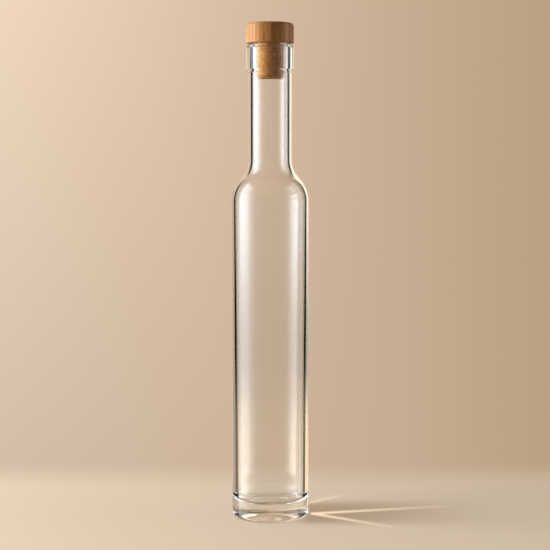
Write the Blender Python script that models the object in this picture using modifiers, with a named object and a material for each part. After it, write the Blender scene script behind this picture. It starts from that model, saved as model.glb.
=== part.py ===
"""A tall slim bottle of clear glass, closed by a stopper: a turned wooden head with a cork shank glued in it.

Lengths are in metres, and +Z is up. The bottle stands on Z = 0, centred on the Z axis.
Every piece is turned, so each is one outline of (radius, height) points, spun once round the Z axis.
"""

import math

import bpy

# The body and base of the bottle
BODY_DIAMETER = 0.0520
BODY_WALL = 0.0038          # by the base; the blown wall thins on the way up
HEEL_RADIUS = 0.0030        # round edge between the side and the base
BASE_RING_WIDTH = 0.0100    # flat ring that the bottle stands on
PUSH_UP_HEIGHT = 0.0030     # hollow in the middle of the base
FLOOR_HEIGHT = 0.0113       # thick glass between the base ring and the inside
FLOOR_RADIUS = 0.0065       # round edge between the inner floor and the inner wall

# The shoulder: a round that leans in, then a round that sweeps up into the neck
SHOULDER_HEIGHT = 0.2153    # where the straight body ends
SHOULDER_WALL = 0.0023
SHOULDER_RADIUS = 0.0220
NECK_ROOT_RADIUS = 0.0170

# The neck and its mouth
BOTTLE_HEIGHT = 0.3204
NECK_DIAMETER = 0.0290
NECK_WALL = 0.0028            # up to the underside of the lip
COLLAR_DIAMETER = 0.0321
COLLAR_HEIGHT = 0.0177
COLLAR_EDGE_RADIUS = 0.0008   # lower edge of the collar
COLLAR_ROOT_RADIUS = 0.0030   # sweep from the collar into the neck
BORE_DIAMETER = 0.0195        # through the lip, which is rolled in and grips the cork
LIP_THICKNESS = 0.0022
LIP_RADIUS = 0.0020           # outer edge of the mouth
MOUTH_RADIUS = 0.0008         # inner edge of the mouth
BORE_END_RADIUS = 0.0004      # lower edge of the bore
LIP_ROOT_RADIUS = 0.0006      # hollow round under the lip

# The stopper
SEAT_GAP = 0.0003             # between pieces that touch
HEAD_DIAMETER = 0.0319
HEAD_HEIGHT = 0.0134
HEAD_TOP_RADIUS = 0.0022
HEAD_RIM_RADIUS = 0.0004      # lower edge of the head
SHANK_REACH = 0.0230          # how far the cork goes down below the lip
SHANK_TENON = 0.0050          # how far the cork goes up into the head
SHANK_CHAMFER = 0.0018
GLUE_THICKNESS = 0.0006
GLUE_MARGIN = 0.0010          # bare edge round the glue

SEGMENTS = 64                 # flats round every turned piece
SMALL_ARC_STEPS = 4
LARGE_ARC_STEPS = 8
MERGE_DISTANCE = 0.00001
SHARP_ANGLE = math.radians(35)


def arc(centre, radius, start, end, steps):
    """Points on a circle in the outline's plane, from one angle to another, in degrees; 0 points outwards."""
    points = []
    for step in range(steps + 1):
        angle = math.radians(start + (end - start) * step / steps)
        points.append((centre[0] + radius * math.cos(angle), centre[1] + radius * math.sin(angle)))
    return points


def sweep(neck_radius, body_radius, root_radius, shoulder_radius, shoulder_height):
    """The shoulder from the neck down to the body: two arcs that meet without a corner.

    The arcs touch, so their centres lie the sum of their radii apart. That gives the height of the neck's end.
    """
    both = root_radius + shoulder_radius
    across = both - (body_radius - neck_radius)
    rise = math.sqrt(both ** 2 - across ** 2)
    lean = math.degrees(math.acos(across / both))
    root_centre = (neck_radius + root_radius, shoulder_height + rise)
    shoulder_centre = (body_radius - shoulder_radius, shoulder_height)
    root = arc(root_centre, root_radius, 180, 180 + lean, LARGE_ARC_STEPS)
    shoulder = arc(shoulder_centre, shoulder_radius, lean, 0, LARGE_ARC_STEPS)
    return root + shoulder[1:]


def bottle_inside():
    """The blown inside, from the middle of its floor up to the underside of the lip."""
    foot = BODY_DIAMETER / 2 - BODY_WALL
    body = BODY_DIAMETER / 2 - SHOULDER_WALL
    neck = NECK_DIAMETER / 2 - NECK_WALL
    floor_edge = arc((foot - FLOOR_RADIUS, FLOOR_HEIGHT + FLOOR_RADIUS), FLOOR_RADIUS, 270, 360, SMALL_ARC_STEPS)
    shoulder = sweep(neck, body, NECK_ROOT_RADIUS + NECK_WALL, SHOULDER_RADIUS - SHOULDER_WALL, SHOULDER_HEIGHT)
    under_lip = arc(
        (neck - LIP_ROOT_RADIUS, BOTTLE_HEIGHT - LIP_THICKNESS - LIP_ROOT_RADIUS),
        LIP_ROOT_RADIUS, 0, 90, SMALL_ARC_STEPS,
    )
    return [(0, FLOOR_HEIGHT)] + floor_edge + shoulder[::-1] + under_lip


def bore():
    """The short bore through the lip, upwards, with both of its edges rounded."""
    radius = BORE_DIAMETER / 2
    lower = (radius + BORE_END_RADIUS, BOTTLE_HEIGHT - LIP_THICKNESS + BORE_END_RADIUS)
    upper = (radius + MOUTH_RADIUS, BOTTLE_HEIGHT - MOUTH_RADIUS)
    return (
        arc(lower, BORE_END_RADIUS, 270, 180, SMALL_ARC_STEPS)
        + arc(upper, MOUTH_RADIUS, 180, 90, SMALL_ARC_STEPS)
    )


def bottle_outside():
    """The moulded outside, from the lip down to the middle of the base."""
    body = BODY_DIAMETER / 2
    neck = NECK_DIAMETER / 2
    collar = COLLAR_DIAMETER / 2
    collar_bottom = BOTTLE_HEIGHT - COLLAR_HEIGHT
    lip = arc((collar - LIP_RADIUS, BOTTLE_HEIGHT - LIP_RADIUS), LIP_RADIUS, 90, 0, SMALL_ARC_STEPS)
    collar_edge = arc(
        (collar - COLLAR_EDGE_RADIUS, collar_bottom + COLLAR_EDGE_RADIUS),
        COLLAR_EDGE_RADIUS, 0, -90, SMALL_ARC_STEPS,
    )
    # The collar's underside runs in until the round of its root begins.
    step = collar - neck - COLLAR_EDGE_RADIUS
    turn = math.degrees(math.acos(1 - min(step / COLLAR_ROOT_RADIUS, 1)))
    collar_root = arc(
        (neck + COLLAR_ROOT_RADIUS, collar_bottom - COLLAR_ROOT_RADIUS * math.sin(math.radians(turn))),
        COLLAR_ROOT_RADIUS, 180 - turn, 180, SMALL_ARC_STEPS,
    )
    shoulder = sweep(neck, body, NECK_ROOT_RADIUS, SHOULDER_RADIUS, SHOULDER_HEIGHT)
    heel = arc((body - HEEL_RADIUS, HEEL_RADIUS), HEEL_RADIUS, 0, -90, SMALL_ARC_STEPS)
    return lip + collar_edge + collar_root[1:] + shoulder + heel + push_up()


def push_up():
    """The hollow under the base, a cap of a sphere, from the base ring's inner edge to the middle."""
    reach = BODY_DIAMETER / 2 - HEEL_RADIUS - BASE_RING_WIDTH
    sphere = (reach ** 2 + PUSH_UP_HEIGHT ** 2) / (2 * PUSH_UP_HEIGHT)
    spread = math.degrees(math.asin(reach / sphere))
    cap = arc((0, PUSH_UP_HEIGHT - sphere), sphere, 90 - spread, 90, LARGE_ARC_STEPS)
    return cap[:-1] + [(0, PUSH_UP_HEIGHT)]


def head_outline():
    """The wooden head, from the middle of its top, round its rim, to the middle of the recess under it."""
    rim = HEAD_DIAMETER / 2
    recess = BORE_DIAMETER / 2
    underside = SEAT_GAP
    top = underside + HEAD_HEIGHT
    ceiling = SHANK_TENON + GLUE_THICKNESS + 2 * SEAT_GAP
    top_edge = arc((rim - HEAD_TOP_RADIUS, top - HEAD_TOP_RADIUS), HEAD_TOP_RADIUS, 90, 0, SMALL_ARC_STEPS)
    rim_edge = arc(
        (rim - HEAD_RIM_RADIUS, underside + HEAD_RIM_RADIUS), HEAD_RIM_RADIUS, 0, -90, SMALL_ARC_STEPS
    )
    return [(0, top)] + top_edge + rim_edge + [(recess, underside), (recess, ceiling), (0, ceiling)]


def shank_outline():
    """The cork shank: a plain cylinder with both ends chamfered."""
    side = BORE_DIAMETER / 2 - SEAT_GAP
    return [
        (0, SHANK_TENON),
        (side - SHANK_CHAMFER, SHANK_TENON),
        (side, SHANK_TENON - SHANK_CHAMFER),
        (side, SHANK_CHAMFER - SHANK_REACH),
        (side - SHANK_CHAMFER, -SHANK_REACH),
        (0, -SHANK_REACH),
    ]


def glue_outline():
    """The disc of set glue between the top of the cork and the recess in the head."""
    side = BORE_DIAMETER / 2 - SEAT_GAP - SHANK_CHAMFER - GLUE_MARGIN
    bottom = SHANK_TENON + SEAT_GAP
    return [(0, bottom + GLUE_THICKNESS), (side, bottom + GLUE_THICKNESS), (side, bottom), (0, bottom)]


def make_material(name, colour, roughness, transmission=0.0):
    material = bpy.data.materials.new(name)
    material.use_nodes = True
    shader = material.node_tree.nodes["Principled BSDF"]
    shader.inputs["Base Color"].default_value = (*colour, 1)
    shader.inputs["Roughness"].default_value = roughness
    shader.inputs["Metallic"].default_value = 0
    shader.inputs["Transmission Weight"].default_value = transmission
    material.diffuse_color = (*colour, 1)
    return material


def turn(name, outline, material, collection):
    """Spins an outline once round the Z axis, into one closed solid."""
    outline_mesh = bpy.data.meshes.new(name + "_outline")
    corners = [(radius, 0, height) for radius, height in outline]
    outline_mesh.from_pydata(corners, [(i, i + 1) for i in range(len(corners) - 1)], [])
    piece = bpy.data.objects.new(name, outline_mesh)
    collection.objects.link(piece)

    screw = piece.modifiers.new("turn", "SCREW")
    screw.axis = "Z"
    screw.steps = SEGMENTS
    screw.render_steps = SEGMENTS
    screw.use_merge_vertices = True
    screw.merge_threshold = MERGE_DISTANCE

    turned = bpy.data.meshes.new_from_object(piece.evaluated_get(bpy.context.evaluated_depsgraph_get()))
    turned.name = name
    piece.modifiers.clear()
    piece.data = turned
    bpy.data.meshes.remove(outline_mesh)
    turned.materials.clear()
    turned.materials.append(material)
    turned.shade_smooth()
    turned.set_sharp_from_angle(angle=SHARP_ANGLE)
    return piece


def main():
    for old in list(bpy.data.objects):
        bpy.data.objects.remove(old)
    pieces = bpy.data.collections.new("stoppered_bottle")
    bpy.context.scene.collection.children.link(pieces)

    glass = make_material("clear_glass", (0.96, 0.97, 0.96), 0.02, transmission=1.0)
    wood = make_material("turned_wood", (0.42, 0.21, 0.09), 0.55)
    cork = make_material("cork", (0.40, 0.20, 0.08), 0.85)
    glue = make_material("set_glue", (0.80, 0.74, 0.58), 0.40)

    turn("glass_bottle", bottle_inside() + bore() + bottle_outside(), glass, pieces)

    # The stopper slides along this empty's Z axis; its pieces measure from the plane of the lip.
    stopper = bpy.data.objects.new("stopper", None)
    stopper.location = (0, 0, BOTTLE_HEIGHT)
    pieces.objects.link(stopper)
    stopper_pieces = [
        turn("stopper_head", head_outline(), wood, pieces),
        turn("cork_shank", shank_outline(), cork, pieces),
        turn("glue_disc", glue_outline(), glue, pieces),
    ]
    for piece in stopper_pieces:
        piece.parent = stopper


main()
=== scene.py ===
# %% [markdown]
# # A slim glass bottle with a wood and cork stopper
# The sizes of this bottle are settled already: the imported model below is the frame, and this script only gives it
# its looks. Each step says what a piece is on the real bottle, how it could be made in Blender, and why this way
# was chosen. The frame comes first, with the box that it fills, because nothing may grow past that box.

# %% Load the frame
import math

import bmesh
import bpy
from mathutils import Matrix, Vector


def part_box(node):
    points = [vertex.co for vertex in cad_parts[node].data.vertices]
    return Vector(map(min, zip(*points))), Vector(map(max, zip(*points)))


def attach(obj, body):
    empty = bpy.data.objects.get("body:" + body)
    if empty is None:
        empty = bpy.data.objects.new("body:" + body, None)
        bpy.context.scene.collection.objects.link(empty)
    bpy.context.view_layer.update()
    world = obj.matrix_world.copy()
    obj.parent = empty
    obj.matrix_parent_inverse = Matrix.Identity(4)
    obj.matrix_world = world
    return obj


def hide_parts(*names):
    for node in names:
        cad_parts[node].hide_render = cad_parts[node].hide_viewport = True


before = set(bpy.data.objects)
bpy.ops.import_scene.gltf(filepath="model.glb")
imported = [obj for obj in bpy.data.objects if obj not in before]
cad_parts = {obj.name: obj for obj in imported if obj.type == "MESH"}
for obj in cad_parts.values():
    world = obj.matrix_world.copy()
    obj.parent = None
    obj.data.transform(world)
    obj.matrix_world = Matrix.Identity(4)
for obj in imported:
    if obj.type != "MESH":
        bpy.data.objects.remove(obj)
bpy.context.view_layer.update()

# %% [markdown]
# ## The sizes that every piece shares
# The glass, the wood and the cork meet at the lip of the bottle, so the heights are read from the frame's own
# pieces. Radii that no box can tell, such as those of the shoulder, are the maker's sizes, in metres.

# %% Shared sizes
glass_low, glass_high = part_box("glass_bottle")
head_low, head_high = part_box("stopper_head")
cork_low, cork_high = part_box("cork_shank")
glue_low, glue_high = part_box("glue_disc")

lip = glass_high[2]
body_radius = glass_high[0]
neck_radius = 0.01450
collar_radius = 0.01605
bore_radius = 0.00975
shoulder_height = 0.2153
print("lip", round(lip, 4), "body radius", round(body_radius, 4), "bore radius", bore_radius)

# %% [markdown]
# ## A pen that draws turned outlines
# Everything here was turned or blown in a round mould, so each piece is one outline spun round the Z axis. The
# outline could be typed as a list of points, but a turner thinks in straight runs and rounds. This pen does the
# same with mesh operators: a run extrudes its last corner, and a round spins that corner about a centre.
# A straight run gets a held corner near each end. Without them, smooth shading would bend the light along the
# whole run, and clear glass shows every such error.

# %% The pen
HOLD = 0.0002


class Outline:
    """A wire in the XZ plane that starts at one corner and grows by runs and rounds."""

    def __init__(self, x, z):
        self.mesh = bmesh.new()
        self.tip = bmesh.ops.create_vert(self.mesh, co=(x, 0, z))["vert"][0]

    def step(self, x, z):
        made = bmesh.ops.extrude_vert_indiv(self.mesh, verts=[self.tip])
        self.tip = made["verts"][0]
        self.tip.co = (x, 0, z)

    def run(self, x, z):
        """A straight run, with a held corner just inside each end."""
        start, end = self.tip.co.copy(), Vector((x, 0, z))
        hold = (end - start).normalized() * min(HOLD, (end - start).length / 4)
        for corner in (start + hold, end - hold, end):
            self.step(corner.x, corner.z)
        return self

    def round(self, x, z, degrees, steps):
        """A round about the centre (x, z). Positive degrees turn from up towards outwards."""
        made = bmesh.ops.spin(
            self.mesh, geom=[self.tip], cent=(x, 0, z), axis=(0, 1, 0), angle=math.radians(degrees), steps=steps
        )
        self.tip = next(g for g in made["geom_last"] if isinstance(g, bmesh.types.BMVert))
        return self


def turned(name, outline, sides):
    """Spins an outline once round the Z axis and closes it into a smooth piece."""
    mesh = outline.mesh
    bmesh.ops.spin(
        mesh, geom=mesh.verts[:] + mesh.edges[:], cent=(0, 0, 0), axis=(0, 0, 1),
        angle=math.tau, steps=sides, use_merge=True,
    )
    bmesh.ops.remove_doubles(mesh, verts=mesh.verts[:], dist=1e-6)
    bmesh.ops.recalc_face_normals(mesh, faces=mesh.faces[:])
    data = bpy.data.meshes.new(name)
    open_edges = sum(not edge.is_manifold for edge in mesh.edges)
    mesh.to_mesh(data)
    mesh.free()
    data.shade_smooth()
    piece = bpy.data.objects.new(name, data)
    bpy.context.scene.collection.objects.link(piece)
    print(name, "faces", len(data.polygons), "open edges", open_edges)
    return piece


# %% [markdown]
# ## The shader language
# A finish is arithmetic on patterns. Writing it as node links hides the sums, so this small class wraps a node's
# socket and lets Python's own operators add the Math nodes.

# %% Shader expressions
class Pattern:
    """One output socket of a node tree, with the operators that patterns need."""

    def __init__(self, tree, socket):
        self.tree, self.socket = tree, socket

    def math(self, operation, *others, clamp=False):
        values = {i: v for i, v in enumerate((self, *others))}
        return self.node("ShaderNodeMath", {"operation": operation, "use_clamp": clamp}, values)

    def node(self, kind, settings=None, values=None, out=0):
        made = self.tree.nodes.new(kind)
        for key, value in (settings or {}).items():
            setattr(made, key, value)
        for key, value in (values or {}).items():
            socket = made.inputs[key]
            if isinstance(value, Pattern):
                self.tree.links.new(value.socket, socket)
            else:
                socket.default_value = value
        return Pattern(self.tree, made.outputs[out])

    def ramp(self, *stops):
        """A colour ramp over this pattern. Each stop is a place and a colour."""
        made = self.tree.nodes.new("ShaderNodeValToRGB")
        elements = made.color_ramp.elements
        while len(elements) < len(stops):
            elements.new(1)
        for element, (place, colour) in zip(elements, stops):
            element.position = place
            element.color = (*colour, 1)
        self.tree.links.new(self.socket, made.inputs[0])
        return Pattern(self.tree, made.outputs[0])

    def between(self, low, high):
        """0 below low, 1 above high, and a soft step between them."""
        return self.node("ShaderNodeMapRange", {"interpolation_type": "SMOOTHSTEP"}, {0: self, 1: low, 2: high})

    def axis(self, out):
        return self.node("ShaderNodeSeparateXYZ", None, {0: self}, out)

    def tinted(self, blend, factor, other):
        """This colour mixed with another one."""
        return self.node("ShaderNodeMix", {"data_type": "RGBA", "blend_type": blend}, {0: factor, 6: self, 7: other}, 2)

    def __add__(self, other): return self.math("ADD", other)
    def __sub__(self, other): return self.math("SUBTRACT", other)
    def __mul__(self, other): return self.math("MULTIPLY", other)


def new_material(name):
    """A Principled material, its shader, and the object's own coordinates as a pattern."""
    material = bpy.data.materials.new(name)
    material.use_nodes = True
    tree = material.node_tree
    shader = tree.nodes["Principled BSDF"]
    place = tree.nodes.new("ShaderNodeTexCoord")
    return material, shader, Pattern(tree, place.outputs["Object"])


def feed(shader, socket, pattern):
    pattern.tree.links.new(pattern.socket, shader.inputs[socket])


# %% [markdown]
# ## The glass
# A blown bottle is a shell with two faces that light bends at, so the inside is modelled as carefully as the
# outside, as one closed surface. A thin shell with a Solidify modifier would give an even wall, but a real wall
# is thick in the base, thins on its way up and swells again at the lip. So the outline goes from the middle of
# the inner floor, up the inside, over the lip, down the outside and under the base.

# %% The glass outline
foot_wall, shoulder_wall, neck_wall = 0.0038, 0.0023, 0.0028
floor_height, floor_round = 0.0113, 0.0065
heel_round, base_ring, push_up = 0.0030, 0.0100, 0.0030
shoulder_round, root_round = 0.0220, 0.0170
collar_height, collar_edge, collar_root = 0.0177, 0.0008, 0.0030
lip_thickness, lip_round, mouth_round, bore_round, lip_root = 0.0022, 0.0020, 0.0008, 0.0004, 0.0006
collar_low = lip - collar_height


def two_rounds(narrow, wide, narrow_round, wide_round):
    """How far a sweep leans, in degrees, and how high it rises, when its two rounds just touch."""
    both = narrow_round + wide_round
    across = both - (wide - narrow)
    return math.degrees(math.acos(across / both)), math.sqrt(both ** 2 - across ** 2)


def inside(pen):
    """From the middle of the floor up to the hollow under the lip."""
    foot, body, neck = body_radius - foot_wall, body_radius - shoulder_wall, neck_radius - neck_wall
    pen.run(foot - floor_round, floor_height)
    pen.round(foot - floor_round, floor_height + floor_round, -90, 16)
    pen.run(body, shoulder_height)
    root, shoulder = root_round + neck_wall, shoulder_round - shoulder_wall
    lean, rise = two_rounds(neck, body, root, shoulder)
    pen.round(body - shoulder, shoulder_height, -lean, 28)
    pen.round(neck + root, shoulder_height + rise, lean, 28)
    pen.run(neck, lip - lip_thickness - lip_root)
    return pen.round(neck - lip_root, lip - lip_thickness - lip_root, -90, 10)


def mouth(pen):
    """The short bore through the lip, the flat lip and the plain collar, down to the neck."""
    pen.run(bore_radius + bore_round, lip - lip_thickness)
    pen.round(bore_radius + bore_round, lip - lip_thickness + bore_round, 90, 8)
    pen.run(bore_radius, lip - mouth_round)
    pen.round(bore_radius + mouth_round, lip - mouth_round, 90, 10)
    pen.run(collar_radius - lip_round, lip)
    pen.round(collar_radius - lip_round, lip - lip_round, 90, 14)
    pen.run(collar_radius, collar_low + collar_edge)
    pen.round(collar_radius - collar_edge, collar_low + collar_edge, 90, 10)
    turn = math.acos(1 - (collar_radius - collar_edge - neck_radius) / collar_root)
    return pen.round(neck_radius + collar_root, collar_low - collar_root * math.sin(turn), -math.degrees(turn), 12)


def outside(pen):
    """From the neck down the shoulder and body, round the heel and under the base to its middle."""
    lean, rise = two_rounds(neck_radius, body_radius, root_round, shoulder_round)
    pen.run(neck_radius, shoulder_height + rise)
    pen.round(neck_radius + root_round, shoulder_height + rise, -lean, 28)
    pen.round(body_radius - shoulder_round, shoulder_height, lean, 28)
    pen.run(body_radius, heel_round)
    pen.round(body_radius - heel_round, heel_round, 90, 16)
    reach = body_radius - heel_round - base_ring
    pen.run(reach, 0)
    sphere = (reach ** 2 + push_up ** 2) / (2 * push_up)
    return pen.round(0, push_up - sphere, -math.degrees(math.asin(reach / sphere)), 24)


glass_pen = outside(mouth(inside(Outline(0, floor_height))))
glass = turned("blown_glass", glass_pen, 224)
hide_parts("glass_bottle")
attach(glass, "bottle")

# %% [markdown]
# ## The wooden head
# The head is turned from one piece of wood, with softened edges and a recess that the cork is glued into. A
# cylinder with a bevel would look alike, but the same pen as for the glass also gives the recess under it.

# %% The head
head_radius, head_base, head_top = head_high[0], head_low[2], head_high[2]
head_top_round, head_rim_round = 0.0022, 0.0004
recess_top = glue_high[2] + 0.0002

head_pen = Outline(0, head_top)
head_pen.run(head_radius - head_top_round, head_top)
head_pen.round(head_radius - head_top_round, head_top - head_top_round, 90, 10)
head_pen.run(head_radius, head_base + head_rim_round)
head_pen.round(head_radius - head_rim_round, head_base + head_rim_round, 90, 6)
head_pen.run(bore_radius, head_base).run(bore_radius, recess_top).run(0, recess_top)
head = turned("turned_head", head_pen, 128)
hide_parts("stopper_head")
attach(head, "stopper")

# %% [markdown]
# ## The cork
# The shank is a plain plug of fine cork with both ends chamfered, so that it finds its way into the bore.

# %% The cork
cork_radius, cork_top, cork_bottom = cork_high[0], cork_high[2], cork_low[2]
cork_chamfer = 0.0018

cork_pen = Outline(0, cork_top)
cork_pen.run(cork_radius - cork_chamfer, cork_top).run(cork_radius, cork_top - cork_chamfer)
cork_pen.run(cork_radius, cork_bottom + cork_chamfer).run(cork_radius - cork_chamfer, cork_bottom)
cork_pen.run(0, cork_bottom)
cork = turned("cork_plug", cork_pen, 128)
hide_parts("cork_shank")
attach(cork, "stopper")

# %% [markdown]
# ## Clear glass
# Glass is a Principled shader with full transmission. It is almost colourless, and only the thick base looks a
# little grey and warm, so the colour deepens there. Lamps can't reach through bent glass in a renderer that samples
# them by straight lines, so for shadow rays and scattered rays the glass steps aside and becomes a faintly grey,
# transparent sheet. Then the cork inside it is lit, and the bottle throws only a pale shadow, as real glass does.
# It steps aside for a ray that was reflected three times too. The renderer gives such a ray up soon after, and
# without the sheet the heel, where light bounces round in the thick glass, would turn black.

# %% The glass finish
MOST_REFLECTIONS, SHEET_GREY = 3, 0.92
glass_material, shader, place = new_material("clear_glass")
feed(shader, "Base Color", place.axis(2).ramp((0.0, (0.91, 0.90, 0.86)), (0.02, (0.985, 0.99, 0.985))))
shader.inputs["Roughness"].default_value = 0.0
shader.inputs["IOR"].default_value = 1.5
shader.inputs["Transmission Weight"].default_value = 1.0
tree = glass_material.node_tree
path = tree.nodes.new("ShaderNodeLightPath")
shadow, scattered, reflections = (
    Pattern(tree, path.outputs[name]) for name in ("Is Shadow Ray", "Is Diffuse Ray", "Glossy Depth")
)
given_up = reflections.math("GREATER_THAN", MOST_REFLECTIONS - 1)
steps_aside = shadow.math("MAXIMUM", scattered).math("MAXIMUM", given_up)
sheet = tree.nodes.new("ShaderNodeBsdfTransparent")
sheet.inputs["Color"].default_value = (SHEET_GREY, SHEET_GREY, SHEET_GREY, 1)
glass_or_sheet = steps_aside.node("ShaderNodeMixShader", None, {
    0: steps_aside, 1: Pattern(tree, shader.outputs[0]), 2: Pattern(tree, sheet.outputs[0]),
})
feed(tree.nodes["Material Output"], "Surface", glass_or_sheet)
glass.data.materials.append(glass_material)
print("glass steps aside after", MOST_REFLECTIONS, "reflections")

# %% [markdown]
# ## Turned wood
# The grain stands upright. A noise squeezed along Z makes the fine upright lines on the side, and the same
# stretched noise seen from above makes the dots of end grain on the top. An image of wood would show its seam on
# a round piece, and a pattern in space has none. The wood is sanded and barely waxed, so its gloss is faint.

# %% The wood finish
wood_material, shader, place = new_material("turned_wood")
stretched = place.node("ShaderNodeMapping", None, {0: place, 3: (1, 1, 0.035)})
fine = place.node("ShaderNodeTexNoise", None, {"Vector": stretched, "Scale": 2600, "Detail": 4})
broad = place.node("ShaderNodeTexNoise", None, {"Vector": stretched, "Scale": 420, "Detail": 3})
grain = fine * 0.5 + broad * 0.5
feed(shader, "Base Color", grain.ramp(
    (0.30, (0.15, 0.046, 0.010)), (0.50, (0.31, 0.115, 0.030)), (0.70, (0.52, 0.25, 0.095)),
))
shader.inputs["Roughness"].default_value = 0.45
shader.inputs["Coat Weight"].default_value = 0.15
shader.inputs["Specular IOR Level"].default_value = 0.3
shader.inputs["Coat Roughness"].default_value = 0.3
head.data.materials.append(wood_material)
print(wood_material.name, "roughness", shader.inputs["Roughness"].default_value)

# %% [markdown]
# ## Fine cork
# Cork is cut from bark, so it is speckled with small dark pores. A cell pattern gives the pores and a soft noise
# the cloudy colour between them. A pale line round the plug, a little below the lip, is a painted highlight.

# %% The cork finish
cork_material, shader, place = new_material("fine_cork")
cells = place.node("ShaderNodeTexVoronoi", None, {"Vector": place, "Scale": 900})
soft = place.node("ShaderNodeTexNoise", None, {"Vector": place, "Scale": 500, "Detail": 4})
speckle = cells * 0.4 + soft * 0.6
speckled = speckle.ramp((0.25, (0.19, 0.066, 0.013)), (0.50, (0.41, 0.155, 0.033)), (0.75, (0.57, 0.27, 0.080)))
# A painted highlight: a thin pale line round the plug, a little below the lip, mixed into the cork's colour.
HIGHLIGHT_DEPTH, HIGHLIGHT_HALF = 0.0072, 0.00035
line = place.axis(2) - (lip - HIGHLIGHT_DEPTH)
painted_highlight = line.math("ABSOLUTE").between(HIGHLIGHT_HALF, 0)
feed(shader, "Base Color", speckled.tinted("MIX", painted_highlight * 0.5, (0.62, 0.42, 0.24, 1)))
shader.inputs["Roughness"].default_value = 0.85
cork.data.materials.append(cork_material)
print("score line", HIGHLIGHT_DEPTH * 1000, "mm below the lip")

# %% [markdown]
# ## The set glue
# The disc of glue is hidden between the cork and the head, and it is a plain disc on the real stopper too. So the
# packed disc is kept as it is, with a cloudy finish in place of its flat colour.

# %% The glue finish
glue_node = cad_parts["glue_disc"]
glue_material, shader, place = new_material("set_glue")
clouds = place.node("ShaderNodeTexNoise", None, {"Vector": place, "Scale": 700, "Detail": 3})
feed(shader, "Base Color", clouds.ramp((0.35, (0.72, 0.64, 0.46)), (0.65, (0.84, 0.79, 0.64))))
shader.inputs["Roughness"].default_value = 0.4
glue_node.data.materials.clear()
glue_node.data.materials.append(glue_material)
print("glue faces", len(glue_node.data.polygons))

# %% [markdown]
# ## The camera
# The photograph was taken from about a metre away, a little above the middle of the bottle and tilted down, so
# the neck is seen slightly from below and the base slightly from above.

# %% The camera
FOCAL_PX, FRAME_PX, SENSOR = 1450, 550, 36
CAMERA_DISTANCE, CAMERA_HEIGHT, CAMERA_TILT, CAMERA_ASIDE = 0.980, 0.2423, 4.5, 0.0032
camera_data = bpy.data.cameras.new("camera")
camera_data.sensor_width = SENSOR
camera_data.lens = FOCAL_PX / FRAME_PX * SENSOR
camera_data.clip_start = 0.01
camera = bpy.data.objects.new("camera", camera_data)
bpy.context.scene.collection.objects.link(camera)
camera.location = (CAMERA_ASIDE, -CAMERA_DISTANCE, CAMERA_HEIGHT)
camera.rotation_euler = (math.radians(90 - CAMERA_TILT), 0, 0)
bpy.context.scene.camera = camera
print("lens", round(camera_data.lens, 1), "mm")

# %% [markdown]
# ## The table
# The bottle stands on a pale, matt table whose far edge melts into the wall. A curved sheet could make that sweep,
# but a flat one whose edges fade out looks the same from the front, never crosses the wall, and shows no hard edge
# from the sides. It hides from reflected light: the glass would show it as a bright pool with a sharp edge, and
# what the glass shows of the studio is drawn by the world alone.

# %% The table
TABLE_REACH = 0.50
FAR_FROM, FAR_TO, NEAR_FROM, NEAR_TO, SIDE_FROM, SIDE_TO = 0.076, 0.181, -0.22, -0.36, 0.25, 0.38
table_mesh = bmesh.new()
bmesh.ops.create_grid(table_mesh, x_segments=1, y_segments=1, size=TABLE_REACH)
table_data = bpy.data.meshes.new("table")
table_mesh.to_mesh(table_data)
table_mesh.free()
table = bpy.data.objects.new("table", table_data)
bpy.context.scene.collection.objects.link(table)
table_material, shader, place = new_material("pale_table")
shader.inputs["Roughness"].default_value = 0.60
shader.inputs["Specular IOR Level"].default_value = 0.0
tree = table_material.node_tree
reflections = Pattern(tree, tree.nodes.new("ShaderNodeLightPath").outputs["Glossy Depth"])
unreflected = reflections.math("LESS_THAN", 0.5)
sideways, away = place.axis(0).math("ABSOLUTE"), place.axis(1)
depth = away.between(FAR_TO, FAR_FROM) * away.between(NEAR_TO, NEAR_FROM)
feed(shader, "Alpha", sideways.between(SIDE_TO, SIDE_FROM) * depth * unreflected)
table.data.materials.append(table_material)
print("table fades out between", FAR_FROM, "and", FAR_TO, "m behind the bottle")

# %% [markdown]
# ## The light that the bottle throws
# The lamp's light goes through the base and is gathered in thin bright streaks on the right, inside a soft shadow.
# A renderer needs very many samples to find such light. The bottle never moves from its place, so the streaks are
# drawn on the table instead: each is a thin line that glows a little and fades out, and the shadow is a darker tone.

# %% The streaks
TABLE_COLOUR, SHADE_COLOUR, GLOW = (0.88, 0.73, 0.565), (0.68, 0.52, 0.365), (0.58, 0.47, 0.34)
STREAKS = (((0.0290, 0.0033), 12.9, 0.0056, 0.115), ((0.0290, 0.0033), -35.0, 0.0050, 0.080),
           ((0.0266, 0.0340), 45.0, 0.0050, 0.048))


def streak(start, bearing, half_width, reach):
    """A thin line of light on the table that starts at a point and fades along its way."""
    turn = math.radians(bearing)
    right, back = place.axis(0) - start[0], away - start[1]
    along = right * math.cos(turn) + back * math.sin(turn)
    across = (back * math.cos(turn) - right * math.sin(turn)).math("ABSOLUTE")
    return across.between(half_width, 0) * along.between(-0.004, 0.004) * along.between(reach, 0)


strong, low, faint = (streak(*one) for one in STREAKS)
feed(shader, "Emission Color", (strong + low + faint * 0.4).ramp((0.0, (0.0, 0.0, 0.0)), (1.0, GLOW)))
shader.inputs["Emission Strength"].default_value = 1.0
across_shade = away.between(-0.036, -0.013) * away.between(0.050, 0.025)
along_shade = place.axis(0).between(0.015, 0.028) * place.axis(0).between(0.16, 0.03)
feed(shader, "Base Color", (across_shade * along_shade).ramp((0.0, TABLE_COLOUR), (1.0, SHADE_COLOUR)))
print("streaks reach", [reach for _, _, _, reach in STREAKS], "m")

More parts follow.
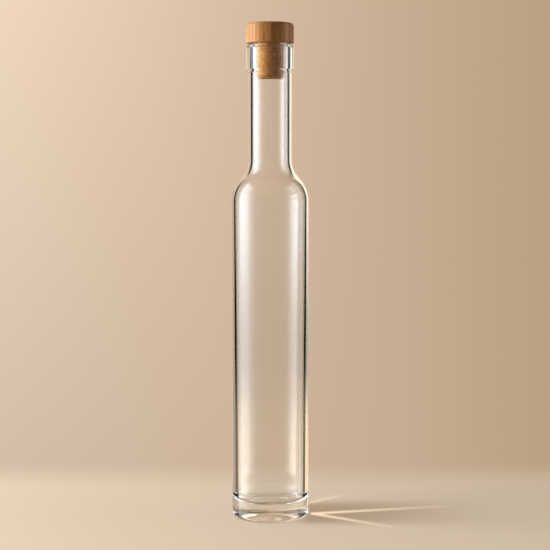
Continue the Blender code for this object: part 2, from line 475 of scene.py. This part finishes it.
# %% [markdown]
# ## The wall
# The camera sees a plain warm wall, paler on the left, and so does light that goes straight through the glass. A
# lit plane could be that wall, but it would stand in the way of the lamps. So the world is the wall: a ramp over a
# ray's direction from left to right. Rays other than the camera's own see it spread over twice the angle, because
# the glass looks far to the sides and the real wall went on there. On the left it grows paler upwards.

# %% The wall
WALL = ((-0.18, (0.75, 0.59, 0.45)), (0.0, (0.63, 0.465, 0.33)), (0.18, (0.50, 0.36, 0.23)))
LEFT_SLOPE, LEFT_START, LEFT_MOST = -3.5, 0.3, 0.9
LIFT_START, LIFT_MOST = 0.061, 0.2

world = bpy.data.worlds.new("studio")
bpy.context.scene.world = world
world.use_nodes = True
tree = world.node_tree
direction = Pattern(tree, tree.nodes.new("ShaderNodeTexCoord").outputs["Generated"])
east, north, up = direction.axis(0), direction.axis(1), direction.axis(2)
path = tree.nodes.new("ShaderNodeLightPath")
seen, passed, mirrored, count = (
    Pattern(tree, path.outputs[name])
    for name in ("Is Camera Ray", "Is Transmission Ray", "Is Glossy Ray", "Glossy Depth")
)

wall = (east * (seen + 1) + 0.5).ramp(*((at * 2 + 0.5, colour) for at, colour in WALL))
leftness = (east * LEFT_SLOPE + LEFT_START).math("MAXIMUM", 0.0).math("MINIMUM", LEFT_MOST)
lift = (up + LIFT_START).math("MINIMUM", LIFT_MOST) * leftness + 1
wall = wall.node("ShaderNodeVectorMath", {"operation": "SCALE"}, {0: wall, "Scale": lift})
print("the wall goes through", len(WALL), "colours from left to right")

# %% [markdown]
# ## The window and the card
# Clear glass is drawn by what it reflects. Light that was reflected, off the glass or inside its wall, comes from
# the whole studio: a window on the left, a card on the right, and darkness between them and the wall. Those drew
# the white strips and the dark lines of the photograph. Lit panels could stand there, but every other view would
# show them, and a ramp over the compass angle, in degrees with 0 straight behind the bottle, is quicker to adjust.
# Dim light is neutral and the brightest is cool, as daylight is beside warm walls.

# %% The window and the card
BRIGHTEST = (4.0, 4.6, 5.3)
STUDIO = ((-135, 0.05), (-114, 0.34), (-99, 0.95), (-75, 1.00), (-71, 0.80), (-67, 0.05), (-60, 0.00),
          (60, 0.00), (65, 0.40), (86, 0.40), (90, 0.68), (98, 0.62), (112, 0.33), (128, 0.05))


def tone(level):
    """The colour of a level of light, to be multiplied by the brightest one."""
    return level, level * (0.87 + 0.13 * level), level * (0.74 + 0.26 * level)


azimuth = east.math("ARCTAN2", north)
levels = (azimuth * (1 / math.tau) + 0.5).ramp(*(((at + 180) / 360, tone(level)) for at, level in STUDIO))
windows = levels.node("ShaderNodeVectorMath", {"operation": "MULTIPLY"}, {0: levels, 1: BRIGHTEST})
print("brightest at", max(STUDIO, key=lambda stop: stop[1])[0], "degrees")

# %% [markdown]
# ## The light at the rims
# The outermost rim of the glass turns light towards the camera from one strip of the studio, behind the bottle on
# its right. In the photograph much of that rim is a cream line. One more pair of stops in the ramp could light it,
# but they would be as cool as the window, so the strip is laid over the ramp with a warm colour of its own.

# %% The light at the rims
BACKLIGHT, BACKLIT_FROM, BACKLIT_TO = (1.4, 1.25, 1.0), (6, 12), (33, 30)


def within(low, high):
    """1 where the compass angle lies between two soft edges, each given as the angles of its 0 and its 1."""
    return (azimuth.between(math.radians(high[0]), math.radians(high[1]))
            * azimuth.between(math.radians(low[0]), math.radians(low[1])))


windows = windows.tinted("MIX", within(BACKLIT_FROM, BACKLIT_TO), (*BACKLIGHT, 1))
print("the strip of backlight is", BACKLIT_TO[1] - BACKLIT_FROM[1], "degrees wide")

# %% [markdown]
# ## The height of the window
# The window isn't equally bright from top to bottom. Below it the lit table glows warm, over its sill it is dim,
# and higher up it is full. That profile is a ramp of its own, and every window is multiplied by it. Beyond its ends,
# and in every direction that has no window, stands a dim room over a table top.

# %% The height of the window
TALL = ((-0.36, (0.00, 0.00, 0.00)), (-0.30, (0.95, 0.80, 0.66)), (-0.19, (0.95, 0.80, 0.66)),
        (-0.16, (0.42, 0.42, 0.42)), (-0.12, (0.45, 0.45, 0.45)), (-0.05, (1.00, 1.00, 1.00)))
FOOT_LIGHT, TABLE_TOP, ROOM = (0.22, 0.18, 0.13), (0.42, 0.33, 0.24), 0.40

tall = (up + 0.5).ramp(*((at + 0.5, colour) for at, colour in TALL))
windows = windows.tinted("MULTIPLY", 1.0, tall).tinted("ADD", up.between(-0.14, -0.20), (*FOOT_LIGHT, 1))
room = wall.tinted("MULTIPLY", 1.0, (ROOM, ROOM, ROOM, 1)).tinted("MIX", up.between(-0.20, -0.36), (*TABLE_TOP, 1))
window_rows = up.between(-0.36, -0.26) * up.between(0.78, 0.58)
print("windows are multiplied by", len(TALL), "stops of height")

# %% [markdown]
# ## One world from its parts
# A ray's own history tells which part it may see. Reflected light sees the studio, and the wall in the piece of it
# straight behind the bottle. The camera and light that only passed through see the wall. Scattered light, which
# fills the shadows, sees a dim copy of the wall that is brighter behind the bottle than in front of it.

# %% One world from its parts
WALL_MIDDLE, WALL_HALF = -10.75, (18.5, 23.5)
FILL, FILL_BEHIND = 0.04, 0.38

off_middle = (azimuth - math.radians(WALL_MIDDLE)).math("ABSOLUTE")
beside = off_middle.between(math.radians(WALL_HALF[0]), math.radians(WALL_HALF[1]))
studio = wall.tinted("MIX", beside, room.tinted("MIX", window_rows, windows))
reflected = (passed + mirrored) * count.math("MINIMUM", 1.0)
straight = (seen + passed).math("SUBTRACT", reflected, clamp=True)
ambient = wall.node("ShaderNodeVectorMath", {"operation": "SCALE"}, {
    0: wall, "Scale": north.between(-0.4, 0.6) * FILL_BEHIND + FILL,
})
shown = ambient.tinted("MIX", straight, wall).tinted("MIX", reflected, studio)
feed(tree.nodes["Background"], "Color", shown)
print("world nodes", len(tree.nodes))

# %% [markdown]
# ## The lamps
# Soft panels light the wood, the cork and the table: a strong one on the left and a weak one on the right. A third,
# small and cool, has a narrow beam that reaches only the stopper, whose left edge daylight makes pale. The glass
# doesn't show them, because it shows the studio's own window and card, so they can be set by the wood alone.

# %% The lamps
def softbox(name, bearing, distance, height, size, power, aim_height=0.2, colour=(1, 1, 1), spread=180):
    """A soft panel at a compass bearing, in degrees with 0 straight behind the bottle, that faces its axis."""
    light_data = bpy.data.lights.new(name, "AREA")
    light_data.shape = "RECTANGLE"
    light_data.size, light_data.size_y = size
    light_data.energy = power
    light_data.color = colour
    light_data.spread = math.radians(spread)
    light = bpy.data.objects.new(name, light_data)
    turn = math.radians(bearing)
    light.location = (math.sin(turn) * distance, math.cos(turn) * distance, height)
    aim = Vector((0, 0, aim_height)) - light.location
    light.rotation_euler = aim.to_track_quat("-Z", "Z").to_euler()
    bpy.context.scene.collection.objects.link(light)
    light.visible_camera = light.visible_glossy = light.visible_transmission = False
    print(name, power, "W at", distance, "m")


softbox("window_left", -98, 1.80, 0.50, (0.96, 1.30), 84)
softbox("card_right", 92, 1.60, 0.35, (0.70, 0.90), 12)
softbox("edge_left", -79.4, 1.20, 0.34, (0.25, 0.25), 0.6, aim_height=0.325, colour=(0.50, 1.10, 2.10), spread=24)

bpy.context.scene.view_settings.view_transform = "Standard"
